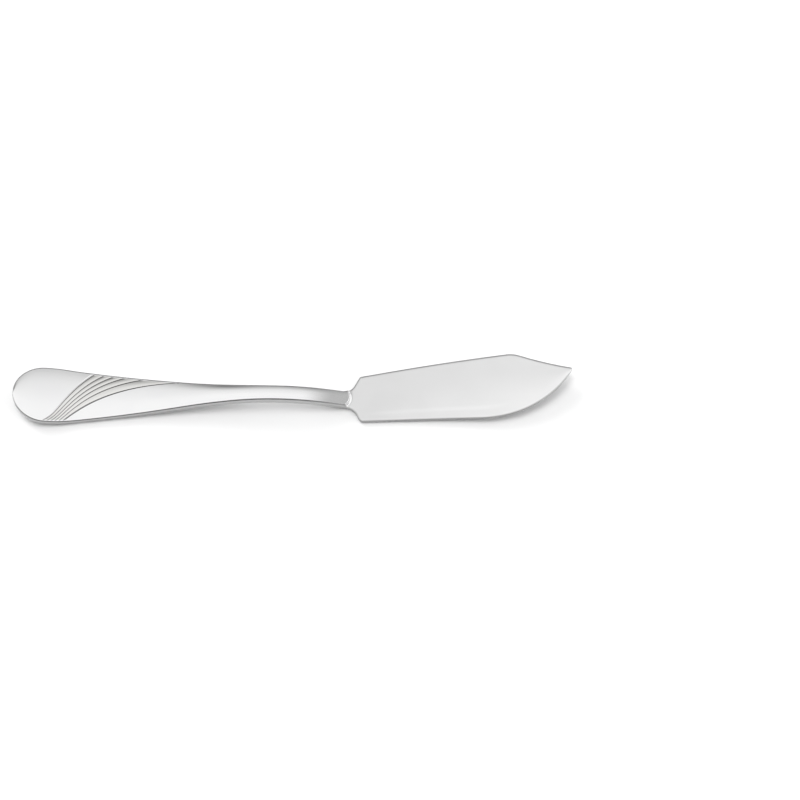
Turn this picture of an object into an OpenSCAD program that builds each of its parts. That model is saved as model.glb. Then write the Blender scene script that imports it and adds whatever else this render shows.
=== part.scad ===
// Fish knife, forged and polished from one piece of stainless steel.
// It lies on its back: the handle touches the table near its wide end, then arches up to a narrow
// neck and comes down to the heel of a thin blade, whose tip lifts clear again.
// X runs from the round end of the handle to the tip. Y runs from the belly of the blade to its spine.

/* [Handle] */
// Length of the handle, from its round end to the step where the blade starts
handle_l = 123.1; // [110:0.1:140]
// Width of the handle at its widest
handle_w = 21.85; // [16:0.05:26]
// Length of the rounded end, up to the widest place
nose_l = 11.5; // [10:0.5:18]
// Fullness of the rounded end, 2 for an ellipse and more for a squarer end
nose_fullness = 1.95; // [1.8:0.05:2.6]
// Width of the narrow neck
neck_w = 6.1; // [5:0.1:8]
// Distance from the top of the arch back to the step
arch_back = 28.2; // [20:0.1:36]
// Distance from the widest place to where the straight sides of the taper would start
taper_lead = 5; // [3:0.5:8]
// Distance from the top of the arch back to where the straight sides would reach the neck
taper_back = 15.7; // [12:0.1:18]
// Thickness of the wide end, at its edge
handle_t = 2.25; // [2:0.05:3]
// Thickness of the neck, at its edge
neck_t = 3.35; // [2.6:0.05:4]
// How much higher the middle of the widest section is than its edges
handle_crown = 0.6; // [0.2:0.05:1]
// Radius of the rounded rim of the handle
rim_r = 0.9; // [0.3:0.05:0.95]

/* [Side profile] */
// How far the round end of the handle lifts from the table
nose_lift = 3.6; // [0:0.1:5]
// Distance from the round end to where the handle touches the table
touch_x = 25; // [20:1:40]
// Height of the underside at the top of the arch
arch_h = 4.6; // [2:0.05:8]
// How late the back of the arch climbs, where more is later
arch_climb = 1.3; // [0.9:0.05:1.5]
// Slope of the front of the arch, down to the heel
fall_slope = 0.3; // [0.25:0.01:0.4]
// Distance from the step back to where that slope reaches the table
heel_back = 1.7; // [1:0.1:4]
// Height of the underside at the tip
tip_lift = 4.8; // [0:0.1:8]
// How late the blade starts to lift, where more is later
tip_climb = 1.8; // [1.4:0.05:2.4]

/* [Step] */
// How far the middle of the step bulges towards the blade
step_bow = 0.85; // [0:0.05:2]
// How far the step leans back on its belly side
step_lean = 0.35; // [0:0.05:0.6]
// Length of the hollow fillet that runs from the step down to the blade
fillet_l = 1.5; // [0.8:0.1:2.5]
// Length over which the top edge of the step is rounded
step_soft = 0.2; // [0.1:0.05:0.5]

/* [Blade] */
// Length of the blade, from the step to the tip
blade_l = 81.5; // [70:0.1:95]
// Thickness of the blade at its root
sheet_t = 1.5; // [1.2:0.05:2]
// Thickness of the blade at its tip
tip_t = 1; // [0.8:0.05:1.2]
// Thickness of the belly edge
edge_t = 0.8; // [0.6:0.05:1]
// Drop of the rounded edges of the blade
sheet_r = 0.25; // [0.1:0.05:0.25]
// Width over which the edges of the blade roll off
sheet_roll = 0.9; // [0.3:0.1:1.5]
// Distance from the middle line to the spine's corner at the heel
spine_heel_w = 9.4; // [8:0.1:12]
// Distance from the step to the spine's corner at the heel
spine_heel_l = 3.7; // [3.5:0.05:8]
// Radius of the curve from the neck to the spine's shoulder
spine_heel_r = 5.2; // [3:0.1:6]
// Slope of the spine's shoulder, in degrees
spine_heel_a = 62; // [50:1:70]
// Distance from the middle line to the belly's corner at the heel
belly_heel_w = 8.55; // [7:0.05:10]
// Distance from the step to the belly's corner at the heel
belly_heel_l = 3.9; // [3:0.05:7]
// Radius of the curve from the neck to the belly's shoulder
belly_heel_r = 5.2; // [3:0.1:6]
// Slope of the belly's shoulder, in degrees
belly_heel_a = 67; // [55:1:72]
// Distance from the middle line to the belly where its straight part ends
belly_w = 7.15; // [6:0.05:8]
// Distance from the tip back to where the belly starts to curve up
belly_back = 32.6; // [28:0.1:40]
// How far the straight part of the belly stands out past the start of that curve
belly_corner = 0.15; // [0:0.05:0.3]
// Distance from the middle line to the hump of the spine
hump_w = 18.55; // [14:0.05:20]
// Distance from the tip back to the hump
hump_back = 21.6; // [16:0.1:26]
// How far the spine bows out between the heel and the hump
spine_bow = 0.7; // [0:0.1:1.5]
// How far the edge hollows between the hump and the tip
hump_hollow = 0.45; // [0:0.05:1]
// Distance from the middle line to the spine side of the tip
tip_w = 12.2; // [8:0.05:14]
// Width of the blunt tip
tip_blunt = 0.9; // [0.5:0.1:1.5]
// Length over which the tip is rounded
tip_r = 0.5; // [0.3:0.1:0.8]
// Distance from the belly to the soft crease along it, at the heel
margin_w = 3; // [2:0.1:4]
// How much further in the crease lies where the belly starts to curve up
margin_more = 1.2; // [0:0.1:2]
// Width of the crease
crease_w = 2; // [1:0.1:3]
// How far the face steps down at the crease
crease_drop = 0.08; // [0:0.01:0.2]

/* [Engraving] */
// Number of engraved lines
line_count = 6; // [2:1:7]
// Width of an engraved line
line_w = 0.35; // [0.3:0.05:0.6]
// Depth of an engraved line
line_depth = 0.16; // [0.05:0.01:0.3]
// How much higher the strip between two lines is in its middle than at its edges
strip_crown = 0.04; // [0:0.01:0.1]
// Distance from the round end to the foot of the first line
line_foot = 13.8; // [12:0.1:18]
// Distance between two feet
foot_pitch = 1.01; // [0.9:0.01:1.3]
// Distance from the round end to the head of the first line
line_head = 29.8; // [26:0.1:34]
// Least distance between two heads
head_pitch = 3.7; // [3:0.05:4.5]
// How much further the last line reaches than that pitch
head_reach = 11.4; // [4:0.1:14]
// How late the last lines start to reach further
head_late = 4.55; // [3:0.05:6]
// Bend of the first line
bend_first = 0.46; // [0.2:0.01:0.8]
// How much more the last line bends
bend_more = 0.49; // [0.2:0.01:0.8]
// How far the foot of the first line sweeps back along the rim
foot_sweep = 2.2; // [0:0.1:2.6]

/* [Hidden] */
steel = [0.78, 0.78, 0.79];

// Steps along the knife, from the round end to the tip
nose_steps = 9;
fan_in_steps = 8;
strip_steps = 3;
fan_out_steps = 14;
neck_steps = 10;
heel_steps = 14;
blade_steps = 14;
hump_steps = 4;
tip_steps = 10;
// Steps across the face, across the underside and round each rim
face_steps = 16;
back_steps = 6;
rim_steps = 3;
back_rim_steps = 2;
// The engraved lines fade out over this share of the face, next to each rim
line_fade = 0.05;
// The floor of an engraved line, as a share of its width
floor_share = 0.35;
// The most that half a line may take of the room between two lines
most_line = 0.22;
// The share of the handle's length that the sweep of a foot takes
sweep_share = 0.08;
// Power of the lift of the round end, and of the belly's flattening
lift_power = 1.65;
belly_power = 1.6;
// How far the taper's sides are blended into the widest place and into the neck, as shares of the taper
wide_soft = 0.04;
waist_soft = 0.27;
// How far each corner of the blade is rounded
spine_heel_soft = 0.6;
belly_heel_soft = 2.6;
hump_soft = 1.2;
// Length over which the slight corner of the belly is blended into its curve
belly_soft_l = 7;
// How far the top of the arch and its foot at the heel are blended into the slope between them
arch_soft = 2;
heel_soft = 0.25;
// Length of the stretch of the handle before the step in which the sections start to bow
bow_lead = 6;
// Length of the stretch of the blade behind the step in which they straighten
bow_tail = 4;
// Lengths over which the margin of the belly fades in at the heel and the crease fades out near the tip
margin_lead = 12;
crease_tail = 14;
// Share of the step's height that its rounded top edge takes
step_soft_share = 0.12;
// Where the fan of curved sections starts and ends
fan_start = 8;
fan_end_gap = 15;
// A section this close to either end carries the last facets
end_gap = 0.03;
// The most of a section's width that one rim may take
most_rim = 0.3;
// Step of the slopes' differences
tiny = 0.01;

total_l = handle_l + blade_l;
arch_x = handle_l - arch_back;
heel_x = handle_l - heel_back;
spine_heel_x = handle_l + spine_heel_l;
belly_heel_x = handle_l + belly_heel_l;
hump_x = total_l - hump_back;
belly_x = total_l - belly_back;
belly_rise = belly_w - belly_corner + tip_w - tip_blunt;
belly_r = (belly_back * belly_back + belly_rise * belly_rise) / (2 * belly_rise);
fan_end = arch_x - fan_end_gap;
tip_y = tip_w - tip_blunt / 2;

// Plain helpers
function clip(s) = max(0, min(1, s));
function mix(a, b, s) = a + (b - a) * s;
function ease(s) = (1 - cos(180 * clip(s))) / 2;
function round_min(a, b, k) = min(a, b) - pow(max(k - abs(a - b), 0), 2) / (4 * k);

// Half the width of the handle, whose straight sides are blended in at both ends
taper_start = nose_l + taper_lead;
taper_end = arch_x - taper_back;
function taper(x) =
    -round_min(
        -round_min(1, (taper_end - x) / (taper_end - taper_start), wide_soft),
        0, waist_soft);
function nose_half(x) =
    handle_w / 2 * pow(max(0, 1 - pow(1 - x / nose_l, nose_fullness)), 1 / nose_fullness);
function half_width(x) = x < nose_l ? nose_half(x) : mix(neck_w, handle_w, taper(x)) / 2;

// A shoulder leaves the neck on an arc and goes on straight up to its corner
function shoulder_start(corner_x, corner_w, r, a) =
    corner_x - r * sin(a) - (corner_w - neck_w / 2 - r * (1 - cos(a))) / tan(a);
function shoulder(x, start, r, a) =
    x < start ? neck_w / 2 :
    x < start + r * sin(a) ? neck_w / 2 + r - sqrt(r * r - pow(x - start, 2)) :
    neck_w / 2 + r * (1 - cos(a)) + (x - start - r * sin(a)) * tan(a);
spine_start = shoulder_start(spine_heel_x, spine_heel_w, spine_heel_r, spine_heel_a);
belly_start = shoulder_start(belly_heel_x, belly_heel_w, belly_heel_r, belly_heel_a);

// The blunt tip is rounded by drawing both edges in towards its middle
function to_tip(x, y) = mix(tip_y, y, sqrt(1 - pow(clip((x - total_l) / tip_r + 1), 2)));

// The spine rises from the heel to the hump, then falls to the tip
function spine_line(x) =
    let (s = (x - spine_heel_x) / (hump_x - spine_heel_x))
    mix(spine_heel_w, hump_w, s) + 4 * spine_bow * s * (1 - s);
function hump_line(x) =
    let (s = (x - hump_x) / hump_back)
    mix(hump_w, tip_w, s) - 4 * hump_hollow * s * (1 - s);
function spine_y(x) =
    x < spine_start ? half_width(x) :
    to_tip(x, round_min(
        shoulder(x, spine_start, spine_heel_r, spine_heel_a),
        round_min(spine_line(x), hump_line(x), hump_soft),
        spine_heel_soft));

// The belly runs almost straight to a slight corner, then curves up to the tip on one arc
function belly_line(x) =
    x < belly_x ?
    belly_w + (belly_heel_w - belly_w) * pow((belly_x - x) / (belly_x - belly_heel_x), belly_power) :
    belly_w - belly_corner * (1 - pow(1 - clip((x - belly_x) / belly_soft_l), 2))
    - belly_r + sqrt(belly_r * belly_r - pow(x - belly_x, 2));
function belly_y(x) =
    x < belly_start ? -half_width(x) :
    to_tip(x, -round_min(
        shoulder(x, belly_start, belly_heel_r, belly_heel_a),
        belly_line(x),
        belly_heel_soft));

// How much longer a step along Y is than the same step square to the edge
function spine_stretch(x) = norm([1, (spine_y(x + tiny) - spine_y(x - tiny)) / (2 * tiny)]);
function belly_stretch(x) = norm([1, (belly_y(x + tiny) - belly_y(x - tiny)) / (2 * tiny)]);

// Distance from a point of the plan to the nearest edge
function nose_inset(x, y) =
    let (
        rho = pow(
            pow(1 - x / nose_l, nose_fullness) + pow(abs(y) / (handle_w / 2), nose_fullness),
            1 / nose_fullness))
    rho < tiny ? nose_l : (1 / rho - 1) * norm([nose_l - x, y]);
function inset(x, y) =
    max(0, x < nose_l ? nose_inset(x, y) :
    min((y - belly_y(x)) / belly_stretch(x), (spine_y(x) - y) / spine_stretch(x)));

// The front of the arch comes down on one slope
function fall_line(x) = round_min(arch_h, fall_slope * (heel_x - x), arch_soft);
// Underside of the knife
function underside(x) =
    x < touch_x ? nose_lift * pow(1 - x / touch_x, lift_power) :
    x < arch_x ? arch_h * ease(pow((x - touch_x) / (arch_x - touch_x), arch_climb)) :
    x < spine_heel_x ? -round_min(-fall_line(x), 0, heel_soft) :
    tip_lift * pow((x - spine_heel_x) / (total_l - spine_heel_x), tip_climb);

// The step is a bow across the knife, and a fillet runs down from it to the blade
function step_bulge(f) = step_lean * f - step_bow * f * f;
function step_place(x, f) = (x - handle_l - step_bulge(f)) / fillet_l;
function above_sheet(x, f) =
    let (s = step_place(x, f), top = step_soft / fillet_l)
    s <= -top ? 1 :
    s <= 0 ? 1 - step_soft_share * (1 - sqrt(max(0, 1 - pow(s / top + 1, 2)))) :
    s >= 1 ? 0 :
    (1 - step_soft_share) * (1 - sqrt(1 - pow(1 - s, 2)));

// The neck's face keeps that slope up to the step, where its underside lies on the table
function heel_dip(x) = x < arch_x ? 0 : underside(x) - fall_line(x);
// Height of the face over the underside, where f goes from -1 at the belly's rim to 1 at the spine's
function handle_height(x, f) =
    mix(handle_t, neck_t, ease((x - touch_x) / (arch_x - touch_x)))
    + handle_crown * half_width(min(x, handle_l)) / (handle_w / 2) * (1 - f * f)
    - heel_dip(x);
function sheet_height(x) = mix(sheet_t, tip_t, (x - handle_l) / blade_l);
function face_height(x, f) = mix(sheet_height(x), handle_height(x, f), above_sheet(x, f));

// The face steps down at a crease along the belly, and its margin is thinned from below
function belly_inset(x, y) = (y - belly_y(x)) / belly_stretch(x);
function margin_in(x) = ease((x - spine_heel_x) / margin_lead);
function crease_at(x) = margin_w + margin_more * clip((x - spine_heel_x) / (belly_x - spine_heel_x));
function crease(x, y) =
    x < spine_heel_x ? 0 :
    crease_drop * margin_in(x) * ease((belly_x + crease_tail - x) / crease_tail)
    * ease((crease_at(x) - belly_inset(x, y)) / crease_w + 0.5);
function thinning(x, y) =
    x < spine_heel_x ? 0 :
    (sheet_height(x) - edge_t - crease(x, y)) * margin_in(x) * ease(1 - belly_inset(x, y) / crease_at(x));

// Drop of a rounded rim, at a distance d inside the edge
function rim_drop(drop, roll, d) = d >= roll ? 0 : drop * (1 - sqrt(1 - pow(1 - d / roll, 2)));
function rim_depth(x, f) = mix(sheet_r, rim_r, above_sheet(x, f));
function face_roll(x, f) = mix(sheet_roll, rim_r, above_sheet(x, f));

// Engraved line number q, where q may also fall between two lines
last_line = line_count - 1;
function line_share(q) = q / last_line;
function line_bend(q) = bend_first + bend_more * line_share(q);
function line_head_x(q) = line_head + head_pitch * q + head_reach * pow(line_share(q), head_late);
function line_x(q, f) =
    let (
        foot = line_foot + foot_pitch * q,
        t = (f + 1) / 2,
        run = (exp(line_bend(q) * t) - 1) / (exp(line_bend(q)) - 1),
        sweep = foot_sweep * (1 - line_share(q)) * exp(-t / sweep_share))
    mix(foot, line_head_x(q), run) - sweep;
// Half the line's width, measured along X, which narrows where the lines run close together
function line_room(q, f) = q < last_line ? line_x(q + 1, f) - line_x(q, f) : line_x(q, f) - line_x(q - 1, f);
function line_half(q, f) =
    let (slope = (line_x(q, f + tiny) - line_x(q, f - tiny)) / (2 * tiny) / half_width(line_x(q, f)))
    min(line_w / 2 * norm([1, slope]), most_line * line_room(q, f));
function line_edge(q, f, side) = line_x(q, f) + side * line_half(q, f);

// The fan of curved sections starts straight, follows the lines and ends straight
function fan_x(q, f) =
    let (before = floor(q))
    q < 0 ? mix(fan_start, line_edge(0, f, -1), 1 + q / fan_in_steps) :
    q > last_line ? mix(line_edge(last_line, f, 1), fan_end, (q - last_line) / fan_out_steps) :
    mix(line_edge(before, f, 1), line_edge(before + 1, f, -1), q - before);

// A section is [X, number in the fan, side of the line, share of line depth, share of strip crown, bow]
function plain(x, bow) = [x, undef, 0, 0, 0, bow];
function fan(q, side, groove, crown) = [0, q, side, groove, crown, 0];
nose_sections = [
    for (i = [0:nose_steps - 1])
    let (s = i / nose_steps)
    plain(i == 0 ? end_gap : fan_start * (1 - cos(90 * s)), 0)];
fan_in_sections = [for (i = [0:fan_in_steps - 1]) fan(i - fan_in_steps, 0, 0, 0)];
line_sections = [
    for (q = [0:last_line])
    each concat(
        [
            for (side = [-1, -floor_share, floor_share, 1])
            fan(q, side, abs(side) < 1 ? 1 : 0, side == -1 && q > 0 || side == 1 && q < last_line ? 1 : 0)],
        [
            for (i = [1:strip_steps])
            let (s = i / (strip_steps + 1))
            if (q < last_line) fan(q + s, 0, 0, pow(2 * s - 1, 2))])];
fan_out_sections = [for (i = [1:fan_out_steps]) fan(last_line + i, 0, 0, 0)];
neck_l = handle_l - bow_lead - fan_end;
neck_sections = [for (i = [1:neck_steps]) plain(fan_end + neck_l * i / neck_steps, 0)];
step_sections = [
    plain(handle_l - bow_lead * 0.6, 0.4),
    plain(handle_l - bow_lead * 0.3, 0.75),
    for (s = [-2, -1, -0.7, -0.3]) plain(handle_l + step_soft * s, 1),
    for (s = [0, 0.04, 0.15, 0.32, 0.55, 0.78, 1]) plain(handle_l + fillet_l * s, 1)];
heel_end = spine_heel_x + bow_tail;
heel_sections = [
    for (i = [1:heel_steps])
    let (s = i / heel_steps)
    plain(mix(handle_l + fillet_l, heel_end, s), 1 - ease(s * 1.2))];
// The highest place of the hump, where the slopes of its two sides cancel
spine_slope = (hump_w - spine_heel_w - 4 * spine_bow) / (hump_x - spine_heel_x);
hump_slope = (tip_w - hump_w - 4 * hump_hollow) / hump_back;
peak_x = hump_x + hump_soft * (spine_slope + hump_slope) / pow(spine_slope - hump_slope, 2);
hump_start = hump_x - 4;
blade_sections = [for (i = [1:blade_steps]) plain(mix(heel_end, hump_start, i / blade_steps), 0)];
hump_sections = [for (i = [1:hump_steps]) plain(mix(hump_start, peak_x, i / hump_steps), 0)];
tip_sections = concat(
    [for (i = [1:tip_steps]) plain(mix(peak_x, total_l - tip_r, sin(90 * i / tip_steps)), 0)],
    [for (s = [0.6, 0.3]) plain(total_l - tip_r * s, 0)],
    [plain(total_l - end_gap, 0)]);
sections = concat(
    nose_sections, fan_in_sections, line_sections, fan_out_sections,
    neck_sections, step_sections, heel_sections, blade_sections, hump_sections, tip_sections);

// Places across a section: [share across the face, share of the rim's radius from the edge]
function across(inner, rim) = concat(
    [for (i = [0:rim - 1]) [-1, 1 - cos(90 * i / rim)]],
    [for (f = inner) [f, 1]],
    [for (i = [rim - 1:-1:0]) [1, 1 - cos(90 * i / rim)]]);
face_inner = concat(
    [-1],
    [for (i = [0:face_steps - 2]) mix(line_fade - 1, 1 - line_fade, i / (face_steps - 2))],
    [1]);
back_inner = [for (i = [0:back_steps]) mix(-1, 1, i / back_steps)];
face_places = across(face_inner, rim_steps);
back_places = across(back_inner, back_rim_steps);

function section_x(s, f) =
    s[5] * step_bulge(f)
    + (is_undef(s[1]) ? s[0] : s[2] == 0 ? fan_x(s[1], f) : line_edge(s[1], f, s[2]));
// Y of a place, where the rims keep their roll as long as the knife is wide enough for them
function place_y(x, f, rim, roll) =
    let (
        low = belly_y(x),
        high = spine_y(x),
        most = (high - low) * most_rim,
        in_low = low + min(most, roll * (x < nose_l ? 1 : belly_stretch(x))) * rim,
        in_high = high - min(most, roll * (x < nose_l ? 1 : spine_stretch(x))) * rim)
    mix(in_low, in_high, (f + 1) / 2);

function face_point(s, place) =
    let (
        f = place[0],
        x = section_x(s, f),
        roll = face_roll(x, f),
        y = place_y(x, f, place[1], roll),
        fade = clip((1 - abs(f)) / line_fade),
        cut = (s[3] * line_depth + s[4] * strip_crown) * fade + crease(x, y),
        drop = rim_drop(rim_depth(x, f), roll, inset(x, y)))
    [x, y, underside(x) + face_height(x, f) - cut - drop];
function back_point(s, place) =
    let (
        f = place[0],
        x = section_x(s, f),
        depth = rim_depth(x, f),
        y = place_y(x, f, place[1], depth))
    [x, y, underside(x) + thinning(x, y) + rim_drop(depth, depth, inset(x, y))];

// One closed ring of points for each section, then a point at either end
face_count = len(face_places);
back_count = len(back_places);
ring_count = face_count + back_count;
rings = [
    for (s = sections)
    concat(
        [for (place = face_places) face_point(s, place)],
        [for (i = [back_count - 1:-1:0]) back_point(s, back_places[i])])];
nose_point = [0, 0, underside(0) + handle_t / 2];
tip_point = [total_l, tip_y, underside(total_l) + (edge_t + tip_t) / 4];
points = concat([for (ring = rings) each ring], [nose_point, tip_point]);
last_ring = (len(rings) - 1) * ring_count;
nose_index = len(rings) * ring_count;

// Triangles between two rings, and the fans that close the ends
faces = concat(
    [
        for (k = [0:len(rings) - 2], j = [0:ring_count - 1])
        let (
            a = k * ring_count + j,
            b = k * ring_count + (j + 1) % ring_count,
            c = b + ring_count,
            d = a + ring_count)
        each [[a, b, c], [a, c, d]]],
    [for (j = [0:ring_count - 1]) [nose_index, (j + 1) % ring_count, j]],
    [for (j = [0:ring_count - 1]) [nose_index + 1, last_ring + j, last_ring + (j + 1) % ring_count]]);

// The origin lies on the table, under the middle of the knife's length and width
y_low = min([for (p = points) p[1]]);
y_high = max([for (p = points) p[1]]);

module fish_knife() {
    color(steel)
    translate([-total_l / 2, -(y_low + y_high) / 2, 0])
    polyhedron(points = points, faces = faces, convexity = 6);
}

fish_knife();
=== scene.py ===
"""A fish knife on a white table, forged and polished from one piece of stainless steel."""

import math

import bmesh
import bpy
import numpy as np
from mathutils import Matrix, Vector


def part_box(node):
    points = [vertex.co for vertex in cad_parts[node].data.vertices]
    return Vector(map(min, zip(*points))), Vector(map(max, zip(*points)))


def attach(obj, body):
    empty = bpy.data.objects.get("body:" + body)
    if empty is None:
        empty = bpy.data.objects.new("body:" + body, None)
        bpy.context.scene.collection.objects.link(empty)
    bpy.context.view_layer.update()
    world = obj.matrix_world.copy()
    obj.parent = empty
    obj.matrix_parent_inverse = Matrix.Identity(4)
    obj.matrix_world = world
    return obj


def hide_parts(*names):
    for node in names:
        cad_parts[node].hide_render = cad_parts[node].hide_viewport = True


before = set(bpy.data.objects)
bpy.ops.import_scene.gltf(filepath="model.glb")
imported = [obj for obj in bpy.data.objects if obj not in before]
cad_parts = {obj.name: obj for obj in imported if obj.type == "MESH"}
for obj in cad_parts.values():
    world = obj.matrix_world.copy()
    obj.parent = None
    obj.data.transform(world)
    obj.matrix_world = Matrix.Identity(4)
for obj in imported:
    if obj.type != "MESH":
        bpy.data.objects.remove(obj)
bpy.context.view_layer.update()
knife_low, knife_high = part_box("fish_knife")

MM = 0.001

# The camera, as the photograph saw the knife, in metres and degrees
CAMERA_HEIGHT = 66
CAMERA_TURN = 0.733
CAMERA_AWAY = 1.22
PIXEL_ON_TABLE = 0.0003665
PICTURE_PIXELS = 800
SENSOR_MM = 36
AIM_FROM_NOSE = (0.14159, 0.00093)

# The handle in plan, in millimetres from its round end and from the middle line
HANDLE_L = 123.1
HANDLE_W = 21.85
NOSE_L = 11.5
NOSE_FULLNESS = 1.95
NECK_W = 6.1
ARCH_BACK = 28.2
TAPER_LEAD = 5
TAPER_BACK = 15.7
WIDE_SOFT = 0.04
WAIST_SOFT = 0.27

# The handle's thickness, its rims, which are sharper on the wide end, and its crowned face
HANDLE_T = 2.25
NECK_T = 3.35
RIM_R = 0.9
WIDE_RIM_R = 0.7
HANDLE_CROWN = 0.6

# Ahead of the wide end the face falls a little more at its edges, and on the neck most of that is taken back
EDGE_DROP = 0.13
EDGE_DROP_X = 50
EDGE_DROP_L = 32
EDGE_BACK = 0.12
EDGE_BACK_X = 72
EDGE_BACK_L = 22

# The side profile
NOSE_LIFT = 3.6
LIFT_POWER = 1.65
TOUCH_X = 25
ARCH_H = 4.6
ARCH_CLIMB = 1.3
ARCH_SOFT = 3.3
FALL_SLOPE = 0.3
HEEL_BACK = 1.7
HEEL_SOFT = 0.25
TIP_LIFT = 4.8
TIP_CLIMB = 1.8

# The step from the neck down to the blade
STEP_BOW = 0.85
STEP_LEAN = 0.35
FILLET_L = 1.5
STEP_SOFT = 0.2
STEP_SOFT_SHARE = 0.12

# The blade
SHEET_T = 1.5
TIP_T = 1
EDGE_T = 0.8
SHEET_R = 0.25
SHEET_ROLL = 0.9
SPINE_HEEL_W = 9.4
SPINE_HEEL_L = 3.7
SPINE_HEEL_R = 5.2
SPINE_HEEL_SLOPE = math.radians(62)
SPINE_HEEL_SOFT = 0.6
BELLY_HEEL_W = 8.55
BELLY_HEEL_L = 3.9
BELLY_HEEL_R = 5.2
BELLY_HEEL_SLOPE = math.radians(67)
BELLY_HEEL_SOFT = 2.6
BELLY_W = 7.15
BELLY_BACK = 32.6
BELLY_POWER = 1.6
BELLY_CORNER = 0.15
BELLY_SOFT_L = 7
HUMP_W = 18.55
HUMP_BACK = 21.6
HUMP_SOFT = 1.2
HUMP_HOLLOW = 0.45
SPINE_BOW = 0.7
TIP_W = 12.2
TIP_BLUNT = 0.9
TIP_R = 0.5
MARGIN_W = 3
MARGIN_MORE = 1.2
MARGIN_LEAD = 12
CREASE_W = 2
CREASE_DROP = 0.08
CREASE_TAIL = 14

# The engraved lines, numbered from 0 at the round end
LINES = 6
LINE_W = 0.35
LINE_DEPTH = 0.16
LINE_FADE = 0.03
LINE_FLOOR = 0.35
MOST_LINE = 0.22
STRIP_CROWN = 0.04
LINE_FOOT = 13.8
FOOT_PITCH = 1.01
LINE_HEAD = 29.3
HEAD_PITCH = 3.45
HEAD_REACH = 13.1
HEAD_LATE = 5.5
BEND_FIRST = 0.46
BEND_MORE = 0.49
FOOT_SWEEP = 2.2
SWEEP_SHARE = 0.08

# Where the sections bend with the lines and bow with the step
FAN_START = 8
FAN_END_GAP = 15
BOW_LEAD = 6
BOW_TAIL = 4
HUMP_LEAD = 4

# Steps of the mesh along the knife, across it and round its rims
NOSE_STEPS = 46
FAN_IN_STEPS = 20
LINE_SIDES = (-1, -0.68, -0.35, 0, 0.35, 0.68, 1)
STRIP_STEPS = 8
FAN_OUT_STEPS = 50
NECK_STEPS = 50
BOW_STEPS = 14
EDGE_PLACES = (-3, -2, -1.5, -1.15, -1, -0.85, -0.7, -0.5, -0.3, -0.15, -0.05, 0)
FILLET_STEPS = 12
FILLET_CLOSE = 1.6
HEEL_STEPS = 30
BLADE_STEPS = 54
HUMP_STEPS = 10
TIP_STEPS = 40
TIP_ROUND_STEPS = 6
FACE_STEPS = 54
BACK_STEPS = 26
RIM_STEPS = 8
END_GAP = 0.02
STRIP_EDGE = 0.03
MOST_RIM = 0.3
TINY = 0.01

# The finish: how far the painted shade and the roughness of the walls reach in over the rim, as a share of
# the roll, and where the painted reflection on the blade starts and ends, from the middle of the knife's
# length
WALL_TOP = 0.8
SHEEN_START = 30
SHEEN_END = 95

# The table, and the lamps' names and strengths, then their spread, height and turn to the left, in degrees
TABLE_SIDE = 6.0
TABLE_GLOW = 0.03
LAMPS = (("key_light", 0.85, 30, 76, 60), ("low_light", 1.75, 30, 24, 42))

# The room's light from its front horizon over the top to the back: its level in front, then each change of
# it, and from where to where that comes in, in degrees
FRONT_LEVEL = 0.32
CHANGES = ((-0.27, 30, 48), (1.13, 52, 88), (-0.13, 106, 120), (-0.93, 119, 143), (0.36, 154, 172))

# A duller band to the right of the knife, with a bright window past it that starts over the table
BAND_LEVEL = 0.53
BAND_SIDE = (13, 31)
WINDOW_LEVEL = 1.45
WINDOW_SIDE = (34, 40)
WINDOW_RISE = (25, 45)

# Places along the knife that follow from its sizes
TOTAL_L = (knife_high.x - knife_low.x) / MM
ARCH_X = HANDLE_L - ARCH_BACK
HEEL_X = HANDLE_L - HEEL_BACK
SPINE_HEEL_X = HANDLE_L + SPINE_HEEL_L
BELLY_HEEL_X = HANDLE_L + BELLY_HEEL_L
HUMP_X = TOTAL_L - HUMP_BACK
BELLY_X = TOTAL_L - BELLY_BACK
BELLY_RISE = BELLY_W - BELLY_CORNER + TIP_W - TIP_BLUNT
BELLY_R = (BELLY_BACK**2 + BELLY_RISE**2) / (2 * BELLY_RISE)
TAPER_START = NOSE_L + TAPER_LEAD
TAPER_END = ARCH_X - TAPER_BACK
FAN_END = ARCH_X - FAN_END_GAP
LAST_LINE = LINES - 1
HEEL_END = SPINE_HEEL_X + BOW_TAIL
HUMP_START = HUMP_X - HUMP_LEAD
SPINE_SLOPE = (HUMP_W - SPINE_HEEL_W - 4 * SPINE_BOW) / (HUMP_X - SPINE_HEEL_X)
HUMP_SLOPE = (TIP_W - HUMP_W - 4 * HUMP_HOLLOW) / HUMP_BACK
PEAK_X = HUMP_X + HUMP_SOFT * (SPINE_SLOPE + HUMP_SLOPE) / (SPINE_SLOPE - HUMP_SLOPE) ** 2
TIP_Y = TIP_W - TIP_BLUNT / 2


def clip(share):
    return np.clip(share, 0, 1)


def mix(a, b, share):
    return a + (b - a) * share


def ease(share):
    return (1 - np.cos(np.pi * clip(share))) / 2


def round_min(a, b, soft):
    return np.minimum(a, b) - np.maximum(soft - np.abs(a - b), 0) ** 2 / (4 * soft)


def quarter_fall(share):
    """Falls from 1 to 0 along a quarter of a circle."""
    return 1 - np.sqrt(np.maximum(1 - (1 - clip(share)) ** 2, 0))


# The outline, in plan


def taper(x):
    sides = round_min(1, (TAPER_END - x) / (TAPER_END - TAPER_START), WIDE_SOFT)
    return -round_min(-sides, 0, WAIST_SOFT)


def half_width(x):
    """Half the width of the handle and its neck."""
    out = clip(1 - x / NOSE_L) ** NOSE_FULLNESS
    nose = HANDLE_W / 2 * np.maximum(1 - out, 0) ** (1 / NOSE_FULLNESS)
    return np.where(x < NOSE_L, nose, mix(NECK_W, HANDLE_W, taper(x)) / 2)


def shoulder_start(corner_x, corner_w, radius, slope):
    rise = corner_w - NECK_W / 2 - radius * (1 - math.cos(slope))
    return corner_x - radius * math.sin(slope) - rise / math.tan(slope)


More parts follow.
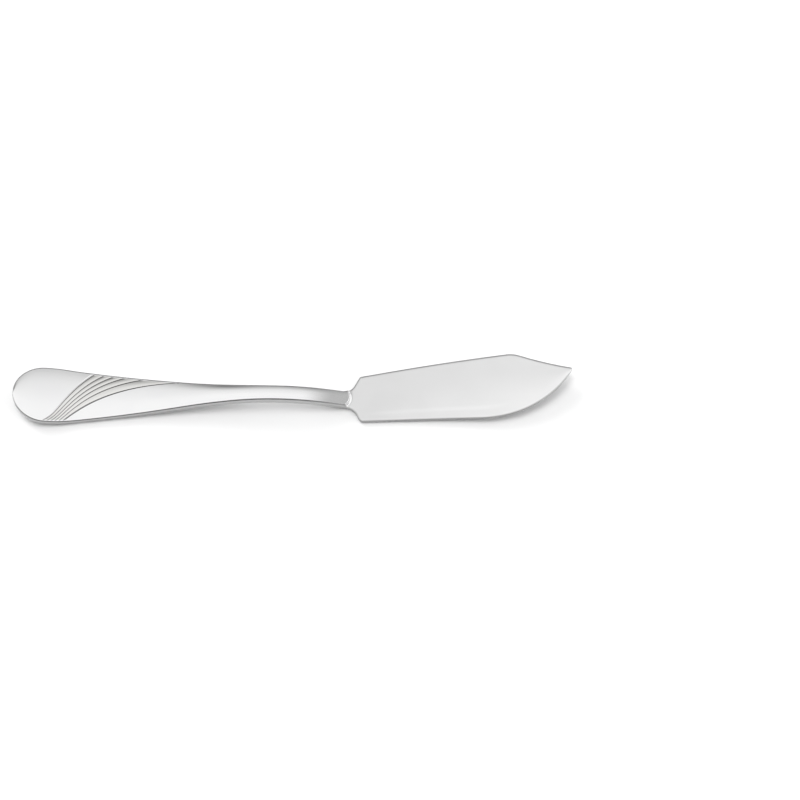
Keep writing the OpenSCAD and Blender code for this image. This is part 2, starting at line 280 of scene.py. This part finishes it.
SPINE_START = shoulder_start(SPINE_HEEL_X, SPINE_HEEL_W, SPINE_HEEL_R, SPINE_HEEL_SLOPE)
BELLY_START = shoulder_start(BELLY_HEEL_X, BELLY_HEEL_W, BELLY_HEEL_R, BELLY_HEEL_SLOPE)


def shoulder(x, start, radius, slope):
    """The curve from the neck out to a corner of the heel: an arc, then a straight slope."""
    run = x - start
    arc_end = radius * math.sin(slope)
    arc = radius - np.sqrt(np.maximum(radius**2 - clip(run / radius) ** 2 * radius**2, 0))
    straight = radius * (1 - math.cos(slope)) + (run - arc_end) * math.tan(slope)
    return NECK_W / 2 + np.where(run < arc_end, arc, straight)


def to_tip(x, y):
    """Draws both edges in towards the middle of the blunt tip, over its last stretch."""
    past = clip((x - TOTAL_L) / TIP_R + 1)
    return mix(TIP_Y, y, np.sqrt(1 - past**2))


def spine_y(x):
    along = (x - SPINE_HEEL_X) / (HUMP_X - SPINE_HEEL_X)
    rising = mix(SPINE_HEEL_W, HUMP_W, along) + 4 * SPINE_BOW * along * (1 - along)
    past = (x - HUMP_X) / HUMP_BACK
    falling = mix(HUMP_W, TIP_W, past) - 4 * HUMP_HOLLOW * past * (1 - past)
    corner = shoulder(x, SPINE_START, SPINE_HEEL_R, SPINE_HEEL_SLOPE)
    blade = round_min(corner, round_min(rising, falling, HUMP_SOFT), SPINE_HEEL_SOFT)
    return np.where(x < SPINE_START, half_width(x), to_tip(x, blade))


def belly_y(x):
    back = np.maximum((BELLY_X - x) / (BELLY_X - BELLY_HEEL_X), 0)
    straight = BELLY_W + (BELLY_HEEL_W - BELLY_W) * back**BELLY_POWER
    stand = BELLY_CORNER * (1 - clip((x - BELLY_X) / BELLY_SOFT_L)) ** 2
    arc = BELLY_W - BELLY_CORNER + stand - BELLY_R + np.sqrt(np.maximum(BELLY_R**2 - (x - BELLY_X) ** 2, 0))
    corner = shoulder(x, BELLY_START, BELLY_HEEL_R, BELLY_HEEL_SLOPE)
    blade = round_min(corner, np.where(x < BELLY_X, straight, arc), BELLY_HEEL_SOFT)
    return np.where(x < BELLY_START, -half_width(x), to_tip(x, -blade))


def stretch(edge, x):
    """How much longer a step along Y is than the same step square to an edge."""
    return np.hypot(1, (edge(x + TINY) - edge(x - TINY)) / (2 * TINY))


def belly_inset(x, y):
    return (y - belly_y(x)) / stretch(belly_y, x)


def inset(x, y):
    """Distance from a point of the plan to the nearest edge."""
    out = clip(1 - x / NOSE_L) ** NOSE_FULLNESS
    rho = (out + (np.abs(y) / (HANDLE_W / 2)) ** NOSE_FULLNESS) ** (1 / NOSE_FULLNESS)
    rho = np.maximum(rho, TINY)
    nose = (1 / rho - 1) * np.hypot(NOSE_L - x, y)
    sides = np.minimum(belly_inset(x, y), (spine_y(x) - y) / stretch(spine_y, x))
    return np.maximum(np.where(x < NOSE_L, nose, sides), 0)


# Heights


def fall_line(x):
    """The slope on which the front of the arch comes down."""
    return round_min(ARCH_H, FALL_SLOPE * (HEEL_X - x), ARCH_SOFT)


def underside(x):
    nose = NOSE_LIFT * clip(1 - x / TOUCH_X) ** LIFT_POWER
    climb = ARCH_H * ease(clip((x - TOUCH_X) / (ARCH_X - TOUCH_X)) ** ARCH_CLIMB)
    fall = -round_min(-fall_line(x), 0, HEEL_SOFT)
    blade = TIP_LIFT * clip((x - SPINE_HEEL_X) / (TOTAL_L - SPINE_HEEL_X)) ** TIP_CLIMB
    handle = np.where(x < TOUCH_X, nose, climb)
    return np.where(x < ARCH_X, handle, np.where(x < SPINE_HEEL_X, fall, blade))


def step_bulge(f):
    """How far the step lies ahead of the handle's end."""
    return STEP_LEAN * f - STEP_BOW * f * f


def above_sheet(x, f):
    """1 on the neck and 0 on the blade: a rounded edge, then a hollow fillet."""
    past = x - HANDLE_L - step_bulge(f)
    top = 1 - STEP_SOFT_SHARE * quarter_fall(-past / STEP_SOFT)
    fillet = (1 - STEP_SOFT_SHARE) * quarter_fall(past / FILLET_L)
    return np.where(past < 0, top, fillet)


def sheet_height(x):
    return mix(SHEET_T, TIP_T, (x - HANDLE_L) / (TOTAL_L - HANDLE_L))


def face_height(x, f):
    """Height over the underside. The neck's face keeps its slope where the underside lies flat."""
    edge = mix(HANDLE_T, NECK_T, ease((x - TOUCH_X) / (ARCH_X - TOUCH_X)))
    crown = HANDLE_CROWN * half_width(np.minimum(x, HANDLE_L)) / (HANDLE_W / 2)
    drop = EDGE_DROP * ease((x - EDGE_DROP_X) / EDGE_DROP_L)
    drop = drop - EDGE_BACK * ease((x - EDGE_BACK_X) / EDGE_BACK_L)
    dip = np.where(x < ARCH_X, 0, underside(x) - fall_line(x))
    return mix(sheet_height(x), edge + crown * (1 - f * f) - drop * f * f - dip, above_sheet(x, f))


def margin_in(x):
    return np.where(x < SPINE_HEEL_X, 0, ease((x - SPINE_HEEL_X) / MARGIN_LEAD))


def crease_at(x):
    """How far inside the belly the soft crease lies."""
    return MARGIN_W + MARGIN_MORE * clip((x - SPINE_HEEL_X) / (BELLY_X - SPINE_HEEL_X))


def crease(x, y):
    tail = ease((BELLY_X + CREASE_TAIL - x) / CREASE_TAIL)
    side = ease((crease_at(x) - belly_inset(x, y)) / CREASE_W + 0.5)
    return CREASE_DROP * margin_in(x) * tail * side


def thinning(x, y):
    """How much the belly's margin is thinned from below."""
    room = sheet_height(x) - EDGE_T - crease(x, y)
    return room * margin_in(x) * ease(1 - belly_inset(x, y) / crease_at(x))


def rim_radius(x):
    return mix(WIDE_RIM_R, RIM_R, ease((x - TOUCH_X) / (ARCH_X - TOUCH_X)))


def rim_depth(x, f):
    return mix(SHEET_R, rim_radius(x), above_sheet(x, f))


def face_roll(x, f):
    return mix(SHEET_ROLL, rim_radius(x), above_sheet(x, f))


def place_y(x, f, rim, roll):
    """Y of a place: f goes across the face and rim from 0 at the edge to 1 past the roll."""
    low, high = belly_y(x), spine_y(x)
    most = (high - low) * MOST_RIM
    in_low = low + np.minimum(most, roll * stretch(belly_y, x)) * rim
    in_high = high - np.minimum(most, roll * stretch(spine_y, x)) * rim
    return mix(in_low, in_high, (f + 1) / 2)


def face_point(x, f, rim):
    roll = face_roll(x, f)
    y = place_y(x, f, rim, roll)
    drop = rim_depth(x, f) * quarter_fall(inset(x, y) / roll)
    return x, y, underside(x) + face_height(x, f) - crease(x, y) - drop


def back_point(x, f, rim):
    depth = rim_depth(x, f)
    y = place_y(x, f, rim, depth)
    return x, y, underside(x) + thinning(x, y) + depth * quarter_fall(inset(x, y) / depth)


# Sections, which follow the engraved lines on the handle and the bow of the step


def line_x(line, f):
    """X of an engraved line, where line may also fall between two lines."""
    share = line / LAST_LINE
    bend = BEND_FIRST + BEND_MORE * share
    along = (f + 1) / 2
    foot = LINE_FOOT + FOOT_PITCH * line
    head = LINE_HEAD + HEAD_PITCH * line + HEAD_REACH * share**HEAD_LATE
    sweep = FOOT_SWEEP * (1 - share) * np.exp(-along / SWEEP_SHARE)
    return mix(foot, head, np.expm1(bend * along) / np.expm1(bend)) - sweep


def line_edge(line, f, side):
    """X of a line's edge, where side is -1 or 1, or of a place between them."""
    slope = (line_x(line, f + TINY) - line_x(line, f - TINY)) / (2 * TINY)
    slope = slope / half_width(line_x(line, f))
    before = min(line, LAST_LINE - 1)
    room = line_x(before + 1, f) - line_x(before, f)
    half = np.minimum(LINE_W / 2 * np.hypot(1, slope), MOST_LINE * room)
    return line_x(line, f) + side * half


def shares(steps):
    """Equal shares from just above 0 to 1."""
    return [(i + 1) / steps for i in range(steps)]


def section(x_of, across_line=1.0, crown=0.0, strip=0.0):
    """A section, its place across a line, its share of the strips' crown and whether a strip holds it."""
    return {"x_of": x_of, "across_line": across_line, "crown": crown, "strip": strip}


def straight_section(x, bow=0.0):
    return section(lambda f: x + bow * step_bulge(f))


def handle_sections():
    """The round end, the fan of curved sections that holds the lines, and the neck."""
    found = [straight_section(END_GAP)]
    for share in shares(NOSE_STEPS):
        found.append(straight_section(mix(END_GAP, FAN_START, 1 - math.cos(math.pi / 2 * share))))
    for share in shares(FAN_IN_STEPS)[:-1]:
        found.append(section(lambda f, s=share: mix(FAN_START, line_edge(0, f, -1), s)))
    strip_shares = [STRIP_EDGE, *shares(STRIP_STEPS)[:-1], 1 - STRIP_EDGE]
    for line in range(LINES):
        for side in LINE_SIDES:
            outer = line == 0 and side < 0 or line == LAST_LINE and side > 0
            found.append(section(lambda f, n=line, s=side: line_edge(n, f, s), abs(side), not outer))
        for share in strip_shares if line < LAST_LINE else []:
            found.append(
                section(
                    lambda f, n=line, s=share: mix(line_edge(n, f, 1), line_edge(n + 1, f, -1), s),
                    crown=(2 * share - 1) ** 2,
                    strip=1.0,
                )
            )
    for share in [STRIP_EDGE / 2, *shares(FAN_OUT_STEPS)]:
        found.append(section(lambda f, s=share: mix(line_edge(LAST_LINE, f, 1), FAN_END, s)))
    for share in shares(NECK_STEPS):
        found.append(straight_section(mix(FAN_END, HANDLE_L - BOW_LEAD, share)))
    return found


def step_sections():
    found = []
    for share in shares(BOW_STEPS):
        x = mix(HANDLE_L - BOW_LEAD, HANDLE_L + EDGE_PLACES[0] * STEP_SOFT, share)
        found.append(straight_section(x, ease(share)))
    for past in EDGE_PLACES[1:]:
        found.append(straight_section(HANDLE_L + past * STEP_SOFT, 1))
    for share in shares(FILLET_STEPS):
        found.append(straight_section(HANDLE_L + FILLET_L * share**FILLET_CLOSE, 1))
    return found


def blade_sections():
    found = []
    for share in shares(HEEL_STEPS):
        found.append(straight_section(mix(HANDLE_L + FILLET_L, HEEL_END, share), 1 - ease(share)))
    for share in shares(BLADE_STEPS):
        found.append(straight_section(mix(HEEL_END, HUMP_START, share)))
    for share in shares(HUMP_STEPS):
        found.append(straight_section(mix(HUMP_START, PEAK_X, share)))
    for share in shares(TIP_STEPS):
        found.append(straight_section(mix(PEAK_X, TOTAL_L - TIP_R, math.sin(math.pi / 2 * share))))
    for share in shares(TIP_ROUND_STEPS):
        past = math.sin(math.pi / 2 * share)
        found.append(straight_section(mix(TOTAL_L - TIP_R, TOTAL_L - END_GAP, past)))
    return found


def across(steps, fade):
    """Places across one side, as (share across the face, share of the way in over the rim)."""
    rise = [1 - math.cos(math.pi / 2 * i / RIM_STEPS) for i in range(RIM_STEPS)]
    inner = [-1, *np.linspace(fade - 1, 1 - fade, steps), 1]
    return [(-1, r) for r in rise] + [(f, 1) for f in inner] + [(1, r) for r in reversed(rise)]


def ring(s, face, back):
    """One closed ring of points: over the face, then back along the underside."""
    top = face_point(s["x_of"](face[:, 0]), *face.T)
    under = back_point(s["x_of"](back[:, 0]), *back.T)
    return np.concatenate([np.stack(top, 1), np.stack(under, 1)])


def ring_marks(s, face, back):
    """What the engraving, the finish and its painted shade and reflection read at each point of a ring."""
    places = np.concatenate([face[:, 0], back[:, 0]])
    marks = {label: np.full(len(places), s[label]) for label in ("across_line", "crown", "strip")}
    marks["across_face"] = np.concatenate([face[:, 0], np.ones(len(back))])
    marks["blade"] = 1 - above_sheet(s["x_of"](places), places)
    # The wall mark makes the steel rougher and greys the walls and the rims' outer rolls with painted shade.
    marks["wall"] = np.concatenate([clip(1 - face[:, 1] / WALL_TOP), back[:, 1] < 1])
    return marks


def shell_faces(rings, count):
    """Faces between the rings, and fans that close both ends on the last two points."""
    faces = []
    for k in range(rings - 1):
        for j in range(count):
            a, b = k * count + j, k * count + (j + 1) % count
            faces.append((a, a + count, b + count, b))
    nose, last = rings * count, (rings - 1) * count
    for j in range(count):
        following = (j + 1) % count
        faces.append((nose, j, following))
        faces.append((nose + 1, last + following, last + j))
    return faces


def forged_blank(name):
    """The knife without its engraving, as a closed shell of rings."""
    face = np.array(across(FACE_STEPS, LINE_FADE))
    back = np.array(across(BACK_STEPS, LINE_FADE))[::-1]
    sections = handle_sections() + step_sections() + blade_sections()
    nose = [0, 0, float(underside(0)) + HANDLE_T / 2]
    tip = [TOTAL_L, TIP_Y, float(underside(TOTAL_L)) + (EDGE_T + TIP_T) / 4]
    points = np.concatenate([*(ring(s, face, back) for s in sections), [nose, tip]])
    points = points * MM + [knife_low.x, knife_low.y + HANDLE_W / 2 * MM, knife_low.z]
    mesh = bpy.data.meshes.new(name)
    mesh.from_pydata(points.tolist(), [], shell_faces(len(sections), len(face) + len(back)))
    marks = [ring_marks(s, face, back) for s in sections]
    for label in marks[0]:
        values = [ring_mark[label] for ring_mark in marks]
        ends = [values[0][0], values[-1][0]]
        attribute = mesh.attributes.new(label, "FLOAT", "POINT")
        attribute.data.foreach_set("value", np.concatenate([*values, ends]).astype(np.float32))
    return mesh


class Value:
    """A socket of a node tree, on which sums are written as in Python."""

    def __init__(self, tree, socket):
        self.tree = tree
        self.socket = socket

    def math(self, operation, *others):
        sockets = dict(enumerate((self, *others)))
        return self.tree.node("ShaderNodeMath", {"operation": operation}, sockets)

    def __add__(self, other):
        return self.math("ADD", other)

    __radd__ = __add__

    def __mul__(self, other):
        return self.math("MULTIPLY", other)

    __rmul__ = __mul__

    def __rsub__(self, other):
        return self.tree.node("ShaderNodeMath", {"operation": "SUBTRACT"}, {0: other, 1: self})

    def __neg__(self):
        return self * -1

    def __abs__(self):
        return self.math("ABSOLUTE")


class Tree:
    """A node tree that adds a node and sets or links its sockets in one call."""

    def __init__(self, nodes):
        self.nodes = nodes

    def node(self, kind, settings=None, sockets=None, output=0):
        made = self.nodes.nodes.new(kind)
        for name, value in (settings or {}).items():
            setattr(made, name, value)
        for name, value in (sockets or {}).items():
            if isinstance(value, Value):
                self.nodes.links.new(value.socket, made.inputs[name])
            else:
                made.inputs[name].default_value = value
        return Value(self, made.outputs[output]) if made.outputs else made

    def ramp(self, value, start, end, low=0.0, high=1.0, kind="SMOOTHSTEP"):
        """A soft ramp from low at start to high at end."""
        sockets = {"Value": value, "From Min": start, "From Max": end, "To Min": low, "To Max": high}
        return self.node("ShaderNodeMapRange", {"interpolation_type": kind}, sockets)

    def mix_value(self, share, first, second):
        """From the first value at share 0 to the second at 1."""
        return self.node("ShaderNodeMix", {"data_type": "FLOAT"}, {0: share, 2: first, 3: second})

    def mix_colour(self, share, first, second):
        sockets = {0: share, 6: first, 7: second}
        return self.node("ShaderNodeMix", {"data_type": "RGBA"}, sockets, 2)


def new_material(name):
    material = bpy.data.materials.new(name)
    material.use_nodes = True
    material.node_tree.nodes.clear()
    return material, Tree(material.node_tree)


def colour(red, green, blue):
    return (red, green, blue, 1.0)


def grey(level):
    return colour(level, level, level)


def polished_steel():
    """Steel polished bright, rougher on its walls and blade, rougher and near black in its lines; painted
    shade greys the walls and the blade, and a painted reflection brightens the blade towards its tip and
    belly.
    """
    material, tree = new_material("polished_steel")
    place = tree.node("ShaderNodeTexCoord", output=3)
    along = tree.node("ShaderNodeSeparateXYZ", sockets={0: place})

    def mark(label):
        return tree.node("ShaderNodeAttribute", {"attribute_name": label}, output=2)

    def noise(scale, detail, stretched=(1, 1, 1)):
        spread = tree.node("ShaderNodeMapping", sockets={"Vector": place, "Scale": stretched})
        sockets = {"Vector": spread, "Scale": scale, "Detail": detail}
        return tree.node("ShaderNodeTexNoise", sockets=sockets)

    groove, strip, blade, wall = mark("groove"), mark("strip"), mark("blade"), mark("wall")
    across_face = mark("across_face")
    haze = noise(90, 3)
    wiped = noise(700, 4, (0.06, 1, 1))
    hairlines = noise(2600, 2, (0.03, 1, 1))
    shade = tree.ramp(haze, 0.3, 0.7)
    bright = tree.mix_colour(shade, colour(0.77, 0.77, 0.775), grey(0.79))
    # Painted shade: the blade and its fillet are greyed, besides being rougher.
    blade_shade = tree.mix_colour(blade, bright, grey(0.715))
    # Painted reflection: the blade's colour brightens towards its tip and its belly.
    to_tip = tree.ramp(along, SHEEN_START * MM, SHEEN_END * MM, kind="LINEAR")
    to_belly = tree.ramp(across_face, 0.6, -0.9, 0.35, 1.0)
    tip_and_belly_sheen = tree.mix_colour(blade * to_tip * to_belly, blade_shade, grey(0.87))
    strips = tree.mix_colour(strip, tip_and_belly_sheen, colour(0.71, 0.705, 0.69))
    cut = groove * tree.ramp(across_face, -1.0, 0.3, 0.65, 1.0)
    lines = tree.mix_colour(cut, strips, colour(0.1, 0.097, 0.09))
    # Painted shade: the walls and the rims' outer rolls are greyed.
    wall_shade = tree.mix_colour(wall, lines, grey(0.49))
    roughness = 0.1 + 0.04 * shade + 0.04 * wiped + 0.22 * groove + 0.16 * blade + 0.2 * wall
    sockets = {"Strength": 0.12, "Distance": 0.00001, "Height": hairlines}
    scratches = tree.node("ShaderNodeBump", sockets=sockets)
    steel = tree.node(
        "ShaderNodeBsdfPrincipled",
        sockets={"Base Color": wall_shade, "Roughness": roughness, "Metallic": 1.0, "Normal": scratches},
    )
    tree.node("ShaderNodeOutputMaterial", sockets={"Surface": steel})
    return material


def engraving_tree():
    """Cuts the engraved lines, rounds the strips between them and marks both for the finish."""
    nodes = bpy.data.node_groups.new("engraving", "GeometryNodeTree")
    nodes.interface.new_socket("Geometry", in_out="INPUT", socket_type="NodeSocketGeometry")
    for name in ("Line depth", "Strip crown", "Floor of a line", "Fade at the rims"):
        nodes.interface.new_socket(name, in_out="INPUT", socket_type="NodeSocketFloat")
    nodes.interface.new_socket("Finish", in_out="INPUT", socket_type="NodeSocketMaterial")
    nodes.interface.new_socket("Geometry", in_out="OUTPUT", socket_type="NodeSocketGeometry")
    tree = Tree(nodes)
    entry = nodes.nodes.new("NodeGroupInput")
    given = {socket.name: Value(tree, socket) for socket in entry.outputs if socket.name}

    def named(label):
        return tree.node("GeometryNodeInputNamedAttribute", {"data_type": "FLOAT"}, {"Name": label})

    def store(geometry, label, value):
        settings = {"data_type": "FLOAT", "domain": "POINT"}
        sockets = {"Geometry": geometry, "Name": label, "Value": value}
        return tree.node("GeometryNodeStoreNamedAttribute", settings, sockets)

    to_rim = 1 - abs(named("across_face"))
    fade = tree.ramp(to_rim, 0.0, given["Fade at the rims"], kind="LINEAR")
    groove = tree.ramp(named("across_line"), 1.0, given["Floor of a line"])
    rounding = (1 - groove) * named("crown") * given["Strip crown"]
    depth = fade * (groove * given["Line depth"] + rounding)
    offset = tree.node("ShaderNodeCombineXYZ", sockets={"Z": -depth})
    marked = store(given["Geometry"], "groove", groove * fade)
    marked = store(marked, "strip", named("strip") * fade)
    cut = tree.node("GeometryNodeSetPosition", sockets={"Geometry": marked, "Offset": offset})
    whole = tree.node("GeometryNodeRealizeInstances", sockets={"Geometry": cut})
    finished = tree.node(
        "GeometryNodeSetMaterial", sockets={"Geometry": whole, "Material": given["Finish"]}
    )
    tree.node("NodeGroupOutput", sockets={0: finished})
    return nodes


def engraved(blank, name, finish):
    """The blank with its lines cut, as a plain mesh."""
    worked = bpy.data.objects.new("blank", blank)
    bpy.context.scene.collection.objects.link(worked)
    cutter = worked.modifiers.new("engraving", "NODES")
    cutter.node_group = engraving_tree()
    sizes = {
        "Line depth": LINE_DEPTH * MM,
        "Strip crown": STRIP_CROWN * MM,
        "Floor of a line": LINE_FLOOR,
        "Fade at the rims": LINE_FADE,
        "Finish": finish,
    }
    for item in cutter.node_group.interface.items_tree:
        if item.in_out == "INPUT" and item.name in sizes:
            cutter[item.identifier] = sizes[item.name]
    bpy.context.view_layer.update()
    seen = worked.evaluated_get(bpy.context.evaluated_depsgraph_get())
    mesh = bpy.data.meshes.new_from_object(seen)
    worked.modifiers.clear()
    bpy.data.objects.remove(worked)
    faces = bmesh.new()
    faces.from_mesh(mesh)
    bmesh.ops.recalc_face_normals(faces, faces=faces.faces)
    faces.to_mesh(mesh)
    faces.free()
    mesh.name = name
    mesh.shade_smooth()
    made = bpy.data.objects.new(name, mesh)
    bpy.context.scene.collection.objects.link(made)
    return made


def photo_camera():
    """Looks down on the knife from the photograph's place, through a long lens."""
    height, turn = math.radians(CAMERA_HEIGHT), math.radians(CAMERA_TURN)
    aim = Vector((knife_low.x + AIM_FROM_NOSE[0], knife_low.y + HANDLE_W / 2 * MM + AIM_FROM_NOSE[1], 0))
    ahead = Vector((-math.sin(turn), math.cos(turn), 0)) * math.cos(height)
    ahead.z = -math.sin(height)
    data = bpy.data.cameras.new("camera")
    data.sensor_width = SENSOR_MM
    data.lens = SENSOR_MM * CAMERA_AWAY / (PIXEL_ON_TABLE * PICTURE_PIXELS)
    data.clip_start, data.clip_end = 0.05, 20
    camera = bpy.data.objects.new("camera", data)
    camera.location = aim - ahead * CAMERA_AWAY
    camera.rotation_mode = "QUATERNION"
    camera.rotation_quaternion = ahead.to_track_quat("-Z", "Y")
    bpy.context.scene.collection.objects.link(camera)
    bpy.context.scene.camera = camera


def white_table():
    """A white table top that keeps the knife's shadow, with a trace of glow where it is seen or mirrored."""
    material, tree = new_material("white_table")
    path = tree.node("ShaderNodeLightPath")
    seen = Value(tree, path.socket.node.outputs["Is Camera Ray"])
    mirrored = Value(tree, path.socket.node.outputs["Is Glossy Ray"])
    paper = tree.node("ShaderNodeBsdfDiffuse", sockets={"Color": grey(0.9)})
    glow = tree.node(
        "ShaderNodeEmission",
        sockets={"Color": grey(1), "Strength": seen.math("MAXIMUM", mirrored) * TABLE_GLOW},
    )
    both = tree.node("ShaderNodeAddShader", sockets={0: paper, 1: glow})
    tree.node("ShaderNodeOutputMaterial", sockets={"Surface": both})
    mesh = bpy.data.meshes.new("table")
    side = TABLE_SIDE / 2
    corners = [(-side, -side, 0), (side, -side, 0), (side, side, 0), (-side, side, 0)]
    mesh.from_pydata(corners, [], [(0, 1, 2, 3)])
    mesh.materials.append(material)
    table = bpy.data.objects.new("table", mesh)
    bpy.context.scene.collection.objects.link(table)


def studio():
    """A wide soft light overhead in a grey room, and two soft lamps from behind on the left."""
    world = bpy.data.worlds.new("studio")
    world.use_nodes = True
    world.node_tree.nodes.clear()
    bpy.context.scene.world = world
    tree = Tree(world.node_tree)
    direction = tree.node("ShaderNodeTexCoord", output=0)
    parts = tree.node("ShaderNodeSeparateXYZ", sockets={0: direction})
    x, y, z = (Value(tree, socket) for socket in parts.socket.node.outputs)
    rise = z.math("ARCTAN2", -y)
    side = x.math("ARCSINE")

    def band(angle, start, end):
        return tree.ramp(angle, math.radians(start), math.radians(end))

    front_to_back = FRONT_LEVEL
    for change, start, end in CHANGES:
        front_to_back = front_to_back + change * band(rise, start, end)
    beside = tree.mix_value(band(side, *BAND_SIDE), front_to_back, BAND_LEVEL)
    window = band(side, *WINDOW_SIDE) * band(rise, *WINDOW_RISE)
    light = tree.mix_value(window, beside, WINDOW_LEVEL)
    path = tree.node("ShaderNodeLightPath")
    seen = Value(tree, path.socket.node.outputs["Is Camera Ray"])
    strength = tree.mix_value(seen, light, 1.0)
    shown = tree.node("ShaderNodeBackground", sockets={"Color": grey(1), "Strength": strength})
    tree.node("ShaderNodeOutputWorld", sockets={"Surface": shown})
    for name, energy, spread, height, turn in LAMPS:
        lamp = bpy.data.objects.new(name, bpy.data.lights.new(name, "SUN"))
        lamp.data.energy = energy
        lamp.data.angle = math.radians(spread)
        lamp.rotation_euler = (math.radians(height - 90), 0, math.radians(turn))
        lamp.visible_glossy = False
        bpy.context.scene.collection.objects.link(lamp)


photo_camera()
steel = polished_steel()
knife = engraved(forged_blank("blank"), "knife", steel)
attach(knife, "root")
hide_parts("fish_knife")
white_table()
studio()
bpy.context.scene.view_settings.view_transform = "Standard"
